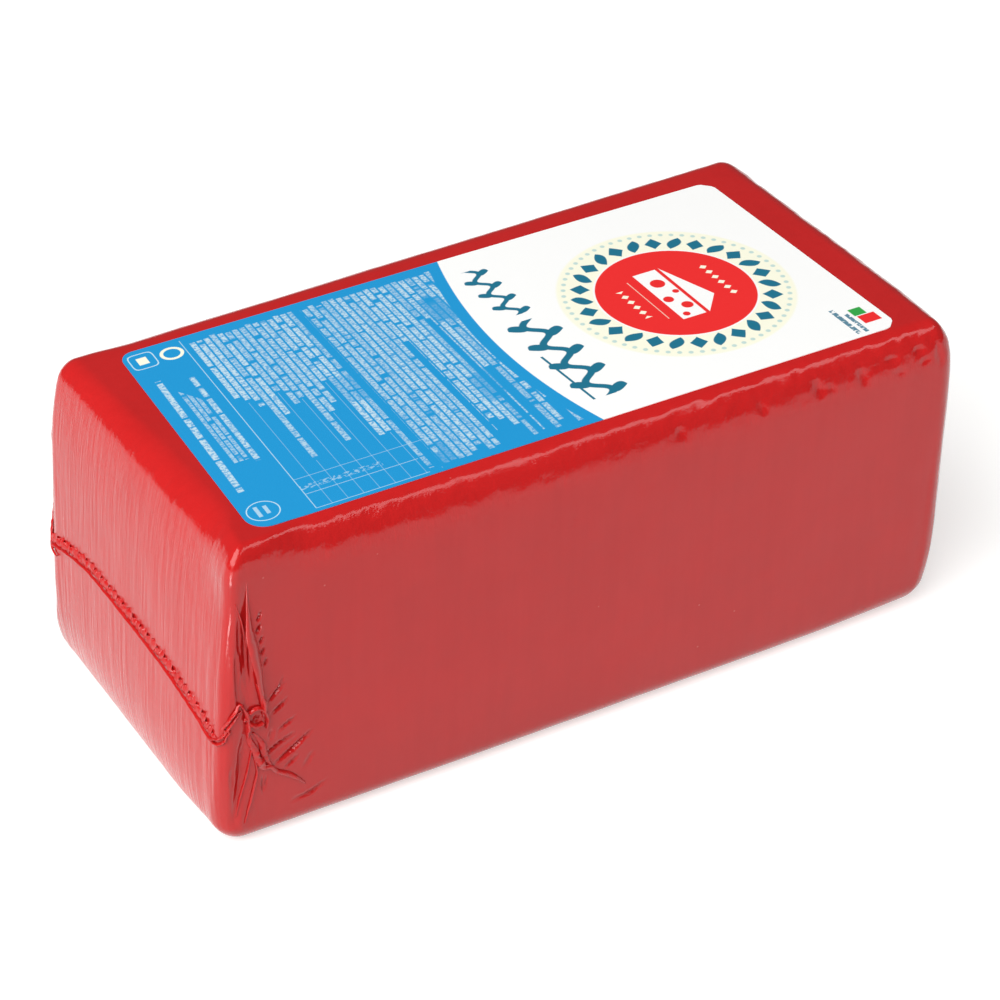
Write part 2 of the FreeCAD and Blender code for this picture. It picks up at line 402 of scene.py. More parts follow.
def makeWrapTree():
    tree = newGroup("wrappedBlock", "GeometryNodeTree", {
        "Geometry": geometrySocket, "Half Length": halfLength, "Half Width": halfWidth, "Height": height,
        **{name: size * mm for name, size in wrap["sizes"].items()}, "Material": materialSocket,
    }, {"Geometry": geometrySocket})
    value = groupInputs(tree)
    cube = addNode(tree, "GeometryNodeMeshCube", {
        "Size": (2, 2, 2), "Vertices X": wrap["linesLong"], "Vertices Y": wrap["linesAcross"],
        "Vertices Z": wrap["linesUp"]})
    place = Wire(tree.nodes.new("GeometryNodeInputPosition").outputs[0])
    fx, fy, fz = (w * 0.5 + 0.5 for w in parted(place))
    halfLong, halfWide = value["Half Length"], value["Half Width"]
    # more lines where the film gathers: the left end, its near edge, and every rounded edge
    u = densityCurve(fx, [(0, 0), (0.05, 0.03), (0.38, 0.18), (0.94, 0.966), (1, 1)]) * 2 - 1
    v = densityCurve(fy, [(0, 0), (0.06, 0.06), (0.94, 0.94), (1, 1)]) * 2 - 1
    s = (densityCurve(fz, [(0, 0), (0.1, 0.07), (0.88, 0.93), (1, 1)]) * 2 - 1) * 0.5
    x, y, z = u * halfLong, v * halfWide, s * value["Height"]
    leftRim, highUp = u.ease(-0.8, -0.93), s.ease(0.1, 0.35)
    heel = u.ease(0.6, 1) * v.ease(-0.4, -1) * s.ease(-0.28, -0.46)
    keen = leftRim * v.ease(-0.62, -0.86) * s.ease(-0.42, -0.2)
    keen = keen + leftRim * v.ease(-0.3, 0.8) * highUp * wrap["backRimKeen"]
    keen = keen + leftRim * s.ease(-0.3, -0.44) * v.ease(-0.86, -0.4) * wrap["footRimKeen"]
    turn = value["Corner Round"] + value["Heel Round"] * heel - value["Sharpening"] * keen
    # the front rim rolls over slowly: its rounding reaches further down than in
    drop = turn + value["Rim Drop"] * v.ease(-0.55, -0.95) * highUp
    flat = joined(x, y, z)
    insideX, insideY, insideZ = halfLong - turn, halfWide - turn, value["Height"] * 0.5 - drop
    core = joined(x.between(-insideX, insideX), y.between(-insideY, insideY),
                  z.between(-insideZ, insideZ))
    reach = joined(turn, turn, drop)
    swept = along("NORMALIZE", along("DIVIDE", along("SUBTRACT", flat, core), reach))
    rounded = along("ADD", core, along("MULTIPLY", swept, reach))
    outward = along("NORMALIZE", along("DIVIDE", swept, reach))
    raised = along("ADD", rounded, joined(0, 0, value["Height"] * 0.5))
    nx, ny, nz = parted(outward)
    rx, ry, rz = parted(raised)
    # the label lies on the flat top, so the top stays calm, and so does the foot
    free = (1 - nz.ease(0.75, 1)) * (1 - (-nz).ease(0.5, 0.95))
    lumps = (noise(raised, 26, 2, 0.5) - 0.5) * value["Lumps"] * 2 * free
    # the ends are pulled into fine upright pleats, deepest beside the seam
    seamPull = (1 - abs(rz / value["Height"] - 0.45).ease(0.02, 0.3)) * 0.6 + 0.9
    sway = (noise(raised, 30, 1) - 0.5) * 0.004
    endPleat = (noise(joined(0, ry + sway, rz * 0.05), 480, 3, 0.7) - 0.5) * value["Pleats"] * 2
    endPleat = endPleat * seamPull * abs(nx).ease(0.35, 0.8)
    # the top rims are uneven, more so towards the right end
    rim = nz.ease(0.04, 0.3) * (1 - nz.ease(0.86, 0.98)) * (rx / halfLong).ease(-0.3, 1, 1, 1.8)
    dents = (noise(joined(rx, ry * 1.5, rz * 1.5), 55, 4, 0.66) - 0.5) * value["Rim Dents"] * 2
    dents = dents * (-ny).ease(0.2, 0.6, 0.25, 1) * rim
    # fine gathers where the sides begin to roll over give each rim an uneven start
    gathers = (noise(joined(rx, ry, rz * 0.25), 360, 3, 0.7) - 0.5) * value["Rim Gathers"] * 2
    gathers = gathers * nz.ease(-0.02, 0.12) * (1 - nz.ease(0.45, 0.8))
    # upright pleats round the four upright corners
    pastEnd, pastSide = abs(rx) - halfLong, abs(ry) - halfWide
    cornerMask = (pastEnd + pastSide).ease(-0.022, -0.004) * (1 - abs(nz).ease(0.1, 0.6))
    cornerMask = cornerMask * (rz / value["Height"]).ease(0.85, 0.6)
    cornerPleat = noise(joined(pastEnd - pastSide + sway, rz * 0.03, 0), 190, 3, 0.6) - 0.5
    cornerPleat = cornerPleat * value["Corner Pleats"] * 2 * cornerMask
    shift = scaled(outward, lumps + endPleat + dents + gathers + cornerPleat)
    body = placeGroup(tree, settledShape, {"Point": raised})
    finishTree(tree, cube.outputs["Mesh"], along("ADD", body["Point"], shift), value["Material"])
    return tree


film = grow("film_wrap", makeWrapTree(), {}, linkObject("wrapHolder", bpy.data.meshes.new("wrapHolder")))


refine = {      # mm: where the mesh gets finer faces, and the small dents on the front and left rims
    "ear": {"right": -92, "front": -50, "low": 5, "high": 94, "allWays": -105, "tall": 0.5},
    "rim": {"low": 80, "front": -50, "left": -108, "longest": 0.9},
    "dents": ((2.4, 0.06), (5, 0.1)), "dentsLow": 75, "dentsMoreRight": 1.2,      # (size, depth)
}


def refineFilm(piece):
    work = bmesh.new()
    work.from_mesh(piece.data)
    # the foot is flat, so its many faces become one
    flat = [face for face in work.faces if all(vert.co.z < 0.02 * mm for vert in face.verts)]
    bmesh.ops.dissolve_faces(work, faces=flat)
    for face in work.faces:
        face.select_set(False)
    ear, rim = refine["ear"], refine["rim"]

    def byEar(co):
        return (co.x < ear["right"] * mm and co.y < ear["front"] * mm
                and ear["low"] * mm < co.z < ear["high"] * mm)

    def onRim(co):
        return co.z > rim["low"] * mm and (co.y < rim["front"] * mm or co.x < rim["left"] * mm)

    near = [edge for edge in work.edges if all(byEar(v.co) for v in edge.verts)
            and (abs(edge.verts[0].co.z - edge.verts[1].co.z) > ear["tall"] * mm
                 or edge.verts[0].co.x < ear["allWays"] * mm)]
    bmesh.ops.subdivide_edges(work, edges=near, cuts=1, use_grid_fill=True)
    rims = [edge for edge in work.edges
            if all(onRim(v.co) for v in edge.verts) and edge.calc_length() > rim["longest"] * mm]
    bmesh.ops.subdivide_edges(work, edges=rims, cuts=1, use_grid_fill=True)
    work.normal_update()
    shifts = []
    for vert in work.verts:
        up = vert.normal.z
        if 0.03 < up < 0.97 and vert.co.z > refine["dentsLow"] * mm:
            strength = min(1, up * 4) * min(1, (0.97 - up) * 4)
            here = vert.co * 1000
            uneven = 1 + refine["dentsMoreRight"] * max(0, vert.co.x) / loafHigh.x
            small = sum(blenderNoise(here / size) * depth for size, depth in refine["dents"]) * uneven
            shifts.append((vert, vert.normal * (small * strength * mm)))
    for vert, shift in shifts:
        vert.co += shift
    tip, pull = Vector(loaf["cornerTip"]) * mm, Vector(loaf["cornerPull"]) * mm
    for vert in work.verts:
        vert.co += pull * math.exp(-((vert.co - tip).length / (loaf["pullReach"] * mm)) ** 2)
    work.to_mesh(piece.data)
    work.free()


refineFilm(film)
print("film refined:", len(film.data.polygons), "faces")


# places on the front face (x, z), the width of the crease and how far it is pushed in, in mm
creases = [
    ([(-113.4, 50.2), (-110.2, 57)], 0.5, 0.6),
    ([(-115.7, 49), (-112.6, 52.6), (-109.6, 54.8)], 0.6, 1.2),
    ([(-114.8, 44.8), (-112.2, 46.4), (-109, 48.8)], 0.6, 1.2),
    ([(-112.8, 38.2), (-106.4, 41.4)], 0.55, 1),
    ([(-118.2, 30.4), (-112.6, 33.2), (-106.6, 35.8)], 0.65, 1.4),
    ([(-114.2, 26.4), (-107.4, 30.2), (-101.2, 35)], 0.7, 1.5),
    ([(-114.8, 36), (-114.3, 39.5)], 0.9, 0.6), ([(-110.6, 24), (-105.6, 27.4)], 0.6, 0.9),
    ([(-116, 31), (-110.5, 31.8), (-105, 33.6)], 2.6, 0.6),
    ([(-108.2, 11.2), (-102.1, 11.8), (-96.6, 14.6)], 0.7, 1.1), ([(-104, 22), (-101, 27)], 0.7, 0.6),
    # a row of nicks beside the flap
    ([(-118.6, 78.7), (-117.1, 81.3)], 0.6, 1.4), ([(-118.8, 74.4), (-117.5, 77.2)], 0.65, 1.6),
    ([(-118, 70.8), (-116.7, 72.8)], 0.55, 1.3), ([(-117.4, 66.8), (-116.4, 68.8)], 0.55, 1.3),
    ([(-116.6, 62.8), (-115.5, 64.8)], 0.5, 1.2),
    # under the knot, then the hollow between the flap and the upright edge
    ([(-117.4, 24), (-117.5, 20.5), (-117.2, 17.6)], 0.5, 0.9), ([(-116.2, 23.4), (-116.6, 19.2)], 0.4, 0.7),
    ([(-121.6, 91), (-122.3, 82), (-122.9, 70), (-122.4, 59), (-121.4, 46)], 2.4, 0.8),
    ([(-125.2, 70), (-125, 58), (-124.6, 48)], 0.8, 0.9), ([(-123.9, 62), (-123.5, 50)], 0.6, 0.8),
    ([(-123, 42), (-123.8, 32), (-124.8, 22), (-126.6, 8)], 1.7, 1.3),
    ([(-119.4, 46), (-118.8, 43.6)], 1, 0.9),
    ([(-127.3, 30), (-127, 22)], 0.8, 0.6), ([(-124.4, 37), (-124.2, 28)], 0.8, 0.6),
    ([(-124.3, 82), (-124.1, 68)], 0.5, 0.5), ([(-122.7, 79), (-122.1, 63)], 0.45, 0.6),
    ([(-121.2, 72), (-120.6, 58)], 0.4, 0.6), ([(-123.2, 58), (-122.2, 49)], 0.45, 0.6),
    # tucks along the right half of the front rim
    ([(21, 97.5), (23.5, 93)], 1.1, 0.5), ([(50, 97), (52.5, 92.5)], 1.2, 0.6),
    ([(70.5, 98), (73, 91.5)], 1.5, 0.8), ([(76, 96), (77, 92)], 1, 0.5),
    ([(87, 98), (88.5, 90.5)], 1.5, 0.8), ([(97, 97), (102, 95.5)], 1.2, 0.6),
    ([(99, 92.5), (104, 91.5)], 1, 0.5), ([(107, 97), (112, 95.8)], 1.2, 0.6),
    ([(109, 92.5), (113, 93.5)], 1, 0.5), ([(116, 97), (117.5, 89)], 1.4, 0.7),
]
# the part of the film they are pressed into, in mm, and the lip of film raised beside a narrow one
press = {"front": -50, "left": -85, "rim": 85, "reach": 2.2, "narrow": 1, "lip": 0.35, "lipPlace": 1.3}


def pressCreases(piece):
    verts = [v for v in piece.data.vertices
             if v.co.y < press["front"] * mm and (v.co.x < press["left"] * mm or v.co.z > press["rim"] * mm)]
    for path, width, depth in creases:
        points = [Vector((x * mm, z * mm)) for x, z in path]
        lengths = [(b - a).length for a, b in zip(points, points[1:])]
        total = sum(lengths)
        lip = press["lip"] if width < press["narrow"] else 0
        for vert in verts:
            here = Vector((vert.co.x, vert.co.z))
            best, share, gone = 1.0, 0.0, 0.0
            for a, b, length in zip(points, points[1:], lengths):
                t = max(0.0, min(1.0, (here - a).dot(b - a) / length ** 2))
                away = (here - a.lerp(b, t)).length
                if away < best:
                    best, share = away, (gone + t * length) / total
                gone += length
            if best < width * press["reach"] * mm:
                fade = math.sin(math.pi * (0.04 + 0.92 * share))        # shallow at both tips
                k = best / (width * mm * (0.5 + 0.5 * fade))
                raised = lip * math.exp(-((k - press["lipPlace"]) ** 2) * 3)
                vert.co.y += depth * mm * fade * (math.exp(-k * k) - raised)


pressCreases(film)

filmTree = BVHTree.FromPolygons([v.co.copy() for v in film.data.vertices],
                                [tuple(p.vertices) for p in film.data.polygons])
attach(film, "root")
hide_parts("cheese_loaf")


# mm: points as far out in y as this lie on the front and back faces, and are looked for straight in
search = {"faceY": 62.9, "startOut": 20, "farthest": 6}


def onFilm(x, y, z):
    # nearest place on the film to a rough point in mm, and the way out of it
    start = Vector((x, y, z)) * mm
    if abs(y) > search["faceY"]:
        inward = Vector((0, -math.copysign(1, y), 0))
        place, way, _, _ = filmTree.ray_cast(start - inward * (search["startOut"] * mm), inward)
        if place is not None and (place - start).length < search["farthest"] * mm:
            return place, (way - inward * 2).normalized()
    place, way, _, _ = filmTree.find_nearest(start)
    return place, way


# folds and seams of film that follow a path over the block
def pathHolder(name, points, lift=0.0):
    # a curve through the places, each with a breadth factor, and the way out stored beside it
    dense, last, steps = [], len(points) - 1, 6
    for i in range(last):
        around = [points[max(i - 1, 0)], points[i], points[i + 1], points[min(i + 2, last)]]
        for k in range(steps + (i == last - 1)):
            t = k / steps
            spot = [0.5 * (2 * b + (c - a) * t + (2 * a - 5 * b + 4 * c - d) * t * t
                           + (3 * b - a - 3 * c + d) * t ** 3)
                    for a, b, c, d in list(zip(*around))[:3]]
            dense.append((spot, points[i][3] * (1 - t) + points[i + 1][3] * t))
    spots, ways = [], []
    for spot, broad in dense:
        place, way = onFilm(*spot)
        spots.append(place + way * lift)
        ways.append(way)
    for _ in range(3):      # the way out turns evenly along the path
        ways = [(before + way * 2 + after).normalized()
                for before, way, after in zip(ways[:1] + ways, ways, ways[1:] + ways[-1:])]
    mesh = bpy.data.meshes.new(name)
    mesh.from_pydata(spots, [(i, i + 1) for i in range(len(spots) - 1)], [])
    for item, way in zip(mesh.attributes.new("wayOut", "FLOAT_VECTOR", "POINT").data, ways):
        item.vector = way
    for item, (_, broad) in zip(mesh.attributes.new("broad", "FLOAT", "POINT").data, dense):
        item.value = broad
    return linkObject(name, mesh)


def sampleAlong(tree, curve, factor, kind, name):
    stored = addNode(tree, "GeometryNodeInputNamedAttribute", {"Name": name}, data_type=kind)
    node = addNode(tree, "GeometryNodeSampleCurve", {
        "Curves": curve, "Factor": factor, "Value": stored.outputs["Attribute"],
    }, mode="FACTOR", data_type=kind, use_all_curves=True)
    return [Wire(node.outputs[key]) for key in ("Value", "Position", "Tangent")]


foldSizes = ("Steps", "Breadth", "Thickness", "Rise", "Wave Size", "Waves", "Crumple", "Crumple Scale",
             "Seed")


def makeFoldTree():
    # a closed sliver of film along a path: its foot is sunk in the film, its free edge waves and leans
    tree = newGroup("filmFold", "GeometryNodeTree", {
        "Geometry": geometrySocket, **dict.fromkeys(foldSizes, 1.0), "Steps": 1, "Side": 1.0, "Arch": 0.75,
        "Material": materialSocket}, {"Geometry": geometrySocket})
    value = groupInputs(tree)
    tube = addNode(tree, "GeometryNodeMeshCylinder", {
        "Vertices": 24, "Side Segments": value["Steps"], "Radius": 1.0, "Depth": 1.0,
    }, fill_type="TRIANGLE_FAN")
    place = Wire(tree.nodes.new("GeometryNodeInputPosition").outputs[0])
    px, py, pz = parted(place)
    share = (pz + 0.5).between(0, 1)
    curve = addNode(tree, "GeometryNodeMeshToCurve", {"Mesh": value["Geometry"]}).outputs["Curve"]
    out, spot, tangent = sampleAlong(tree, curve, share, "FLOAT_VECTOR", "wayOut")
    broad = sampleAlong(tree, curve, share, "FLOAT", "broad")[0]
    side = along("NORMALIZE", along("CROSS_PRODUCT", out, tangent))
    across = (px + 1) * 0.5                       # 0 at the foot of the fold, 1 at its free edge
    wander = noise(joined(share * value["Waves"] * 0.35, value["Seed"], 0), 1.0, 1)
    phase = (share * value["Waves"] + wander * 2.2) * 2 * math.pi
    wave = phase.sine() * value["Wave Size"] * across * broad
    grain = along("ADD", spot, joined(across * 0.004, py * 0.0005, value["Seed"]))
    rough = (noise(grain, value["Crumple Scale"], 2, 0.6) - 0.5) * value["Crumple"] * 2
    reach = (across * value["Breadth"] * (1 + (phase * 0.5).sine() * 0.12)) * broad
    lift = value["Rise"] * broad * (across * math.pi * value["Arch"] + 0.35).sine()
    lift = lift + py * value["Thickness"] * 0.5 + wave + rough * broad
    slide = phase.cosine() * value["Wave Size"] * 0.8 * across * broad
    final = along("ADD", spot, scaled(side, reach * value["Side"]))
    final = along("ADD", final, scaled(out, lift))
    finishTree(tree, tube.outputs["Mesh"], along("ADD", final, scaled(tangent, slide)),
               value["Material"])
    return tree


foldTree = makeFoldTree()


def foldLook(*sizes, **more):
    # sizes are in the order of foldSizes; Breadth, Thickness, Rise, Wave Size and Crumple are in mm
    return {**dict(zip(foldSizes, sizes)), **more}


def makeFold(name, points, look):
    holder = pathHolder(name + "Path", points, look.get("lift", 0) * mm)
    values = {}
    for key, amount in look.items():
        if key in ("Breadth", "Thickness", "Rise", "Wave Size", "Crumple"):
            amount = amount * mm
        if key != "lift":
            values[key] = amount if key == "Steps" else float(amount)
    piece = grow(name, foldTree, values, holder)
    fixNormals(piece)
    return piece


def fixNormals(piece):
    work = bmesh.new()
    work.from_mesh(piece.data)
    bmesh.ops.remove_doubles(work, verts=work.verts, dist=1e-7)
    bmesh.ops.recalc_face_normals(work, faces=work.faces)
    work.to_mesh(piece.data)
    work.free()


def mergePieces(name, pieces):
    work = bmesh.new()
    for piece in pieces:
        work.from_mesh(piece.data)
        bpy.data.objects.remove(piece)
    mesh = bpy.data.meshes.new(name)
    work.to_mesh(mesh)
    work.free()
    return linkObject(name, mesh, redFilm)


# the seam of gathered film across the left end; each point is x, y, z in mm and a breadth factor
leftSeam = {
    "path": [(-119, 63, 34, 0.3), (-124, 61.5, 36.5, 0.6), (-127, 57.2, 39.5, 0.8), (-129, 49, 41.6, 1),
             (-130, 38.7, 44.2, 1), (-131, 28, 45.9, 1), (-131, 16.4, 46.3, 0.9), (-131, 4.7, 45.9, 1),
             (-131, -13.5, 45, 1), (-131, -27, 43.9, 1.05), (-131, -36.8, 42.4, 1), (-131, -45.9, 40.5, 1.1),
             (-131, -53.8, 38.4, 0.9), (-130.6, -56.8, 39.5, 0.4)],
    "look": foldLook(900, 3.6, 0.3, 0.5, 0.42, 47, 0.55, 480, 3),
    "hem": foldLook(260, 0.7, 0.6, 0.8, 0.05, 30, 0.15, 300, 5, lift=0.15), "hemDrop": 0.3, "hemBroader": 0.2,
}
rightSeam = {
    "path": [(126, 53, 50, 0.4), (127, 40, 50.5, 1), (127, 20, 51, 1), (127, 0, 51, 0.9),
             (127, -20, 50.6, 1), (127, -40, 50.2, 1), (126, -52, 49.8, 0.5)],
    "own": {"Side": -1.0, "Seed": 11},
}


def hemOf(path):
    drop, broader = leftSeam["hemDrop"], leftSeam["hemBroader"]
    return [(x, y, z - drop, min(1, k + broader)) for x, y, z, k in path]


seamLeft = mergePieces("seal_ruffle_left", [makeFold("ruffle", leftSeam["path"], leftSeam["look"]),
                                            makeFold("hem", hemOf(leftSeam["path"]), leftSeam["hem"])])
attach(seamLeft, "root")
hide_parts("end_seal_left")

seamRight = mergePieces("seal_ruffle_right", [
    makeFold("ruffleRight", rightSeam["path"], {**leftSeam["look"], **rightSeam["own"]}),
    makeFold("hemRight", hemOf(rightSeam["path"]), {**leftSeam["hem"], **rightSeam["own"]})])
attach(seamRight, "root")
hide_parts("end_seal_right")

# the ear where the end film is tucked round the near corner: x, z on the front face and a breadth factor
ear = {
    "flap": ([(-121.5, 95.4, 0.1), (-121, 89, 0.3), (-120.4, 82.5, 0.5), (-119.6, 76, 0.8),
              (-118.3, 69.6, 1), (-117.4, 63.5, 1), (-117, 58.2, 0.85), (-116.5, 53.8, 0.7),
              (-116.3, 49.2, 0.5), (-116.2, 45, 0.3)],
             foldLook(120, 3.6, 0.4, 3.5, 0.12, 3, 0.12, 160, 1, Arch=0.5, Side=-1, lift=-0.8)),
    "tongue": ([(-119.4, 57.5, 0.2), (-118.8, 54, 0.9), (-118.2, 50.5, 1), (-117.6, 47, 0.7)],
               foldLook(50, 1.7, 0.4, 2, 0.1, 2, 0.3, 260, 2)),
    "streak": ([(-125.2, 86.5, 0.3), (-123.8, 80.8, 1), (-122.7, 75.4, 1), (-121.9, 70, 0.3)],
               foldLook(40, 0.6, 0.3, 0.4, 0.03, 2, 0.1, 300, 3)),
    "tail": ([(-122.8, 44.5, 0.5), (-122.3, 38.1, 0.8), (-121.1, 34.2, 1), (-119.6, 29.4, 1.2),
              (-117.8, 26.3, 1), (-115.4, 26, 0.8), (-113.1, 23.1, 0.7), (-109.5, 20.7, 0.8),
              (-106.5, 18.4, 0.6), (-103.8, 16, 0.3)],
             foldLook(130, 2.1, 0.4, 1.1, 0.25, 7, 0.8, 330, 4)),
    "tailFan": ([(-120.6, 40.5, 0.3), (-118.9, 36.5, 0.9), (-118, 31.5, 1.1), (-115.6, 27, 0.6)],
                foldLook(60, 2, 0.3, 0.8, 0.2, 3, 0.6, 330, 5)),
    "innerFold": ([(-121.3, 34.6, 0.7), (-122.3, 28.8, 1), (-123.5, 23.1, 1), (-125, 17.1, 0.9),
                   (-125.8, 11.6, 0.3)], foldLook(60, 0.75, 0.3, 0.7, 0.04, 3, 0.12, 260, 6)),
    "outerFold": ([(-120.4, 31.4, 0.6), (-119.6, 26.5, 0.9), (-120.5, 22, 0.9), (-121.8, 16.2, 1),
                   (-123.4, 8.8, 0.3)], foldLook(60, 0.9, 0.3, 0.6, 0.05, 3, 0.15, 260, 7)),
    "knotLoop": ([(-123.2, 45.6, 0.5), (-121.6, 47.2, 0.9), (-119.2, 48.3, 1), (-117.4, 46.6, 1),
                  (-116.4, 43.6, 0.9), (-116.6, 41, 0.4)], foldLook(70, 1.3, 0.4, 1.3, 0.2, 3, 0.7, 420, 8)),
    "knotBar": ([(-123.4, 47, 0.5), (-121.8, 43.6, 1), (-119.4, 42, 1), (-117, 42.8, 0.6)],
                foldLook(50, 1.5, 0.4, 1.5, 0.2, 2, 0.8, 420, 9)),
    "knotStem": ([(-124.4, 51.6, 0.4), (-123.2, 48.4, 0.9), (-122.6, 44, 1), (-122.6, 40, 0.7)],
                 foldLook(50, 1.2, 0.5, 1.4, 0.2, 3, 0.6, 420, 10)),
}
earY, backEar = 63, {"seedShift": 20, "flatter": 0.3}
seamTail = {      # where the seam runs round the upright edge into the knot: x, y, z and a breadth factor
    "upper": [(-130.8, -55, 38.6, 0.6), (-130.5, -60, 40.8, 1), (-128.8, -63, 44.6, 1),
              (-126.6, -63, 48.4, 1), (-124.4, -63, 51.6, 0.9), (-123.2, -63, 49.6, 0.4)],
    "lower": [(-131, -52, 37.2, 0.5), (-130.7, -58, 37.8, 0.9), (-129.4, -62, 41, 1), (-127.4, -63, 44.9, 1),
              (-125.4, -63, 48, 0.8), (-124, -63, 49.4, 0.3)],
    "look": foldLook(90, 0.95, 0.45, 0.9, 0.05, 5, 0.25, 300, 12),
}


def makeEar(name, mirror):
    folds = []
    for part, (points, look) in ear.items():
        path = [(x, -earY * mirror, z, k) for x, z, k in points]
        own = {"Side": look.get("Side", 1.0) * mirror}
        if mirror < 0:
            own["Seed"] = look["Seed"] + backEar["seedShift"]
            own["Rise"] = look["Rise"] * backEar["flatter"]
        folds.append(makeFold(name + part, path, {**look, **own}))
    for part in ("upper", "lower"):
        path = [(x, y * mirror, z, k) for x, y, z, k in seamTail[part]]
        folds.append(makeFold(name + part, path, {**seamTail["look"], "Side": mirror}))
    return mergePieces(name, folds)


ears = (("corner_ear_front", 1, "film_ear_front"), ("corner_ear_back", -1, "film_ear_back"))
for earName, mirror, cadNode in ears:
    earPiece = makeEar(earName, mirror)
    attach(earPiece, "root")
    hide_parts(cadNode)


# the printed label; corners and sizes in mm, and the right corners are cut straight
label = {
    "backLeft": (-104.7, 49.0), "backRight": (105.2, 48.2), "frontRight": (106.3, -52.9),
    "frontLeft": (-115.3, -53.8), "length": 215.8, "width": 101.8,
    "rounds": {"frontLeft": 6.8, "backLeft": 4.5, "frontRight": 3.4, "backRight": 3.4},
    "columns": 150, "rows": 72, "thickness": 0.2, "roughness": 0.42, "scuffing": 0.1,
    "bumpStrength": 0.1, "bumpDepth": 0.2,
}

printColours = {
    "white": (0.96, 0.96, 0.945, 1), "blue": (0.008, 0.3, 0.64, 1), "cream": (0.95, 0.94, 0.76, 1),
    "red": (0.84, 0.021, 0.021, 1), "teal": (0.007, 0.16, 0.26, 1), "paleBlue": (0.56, 0.76, 0.86, 1),
    "green": (0.03, 0.37, 0.06, 1), "print": (0.62, 0.78, 0.84, 1), "paleTeal": (0.35, 0.6, 0.62, 1),
}


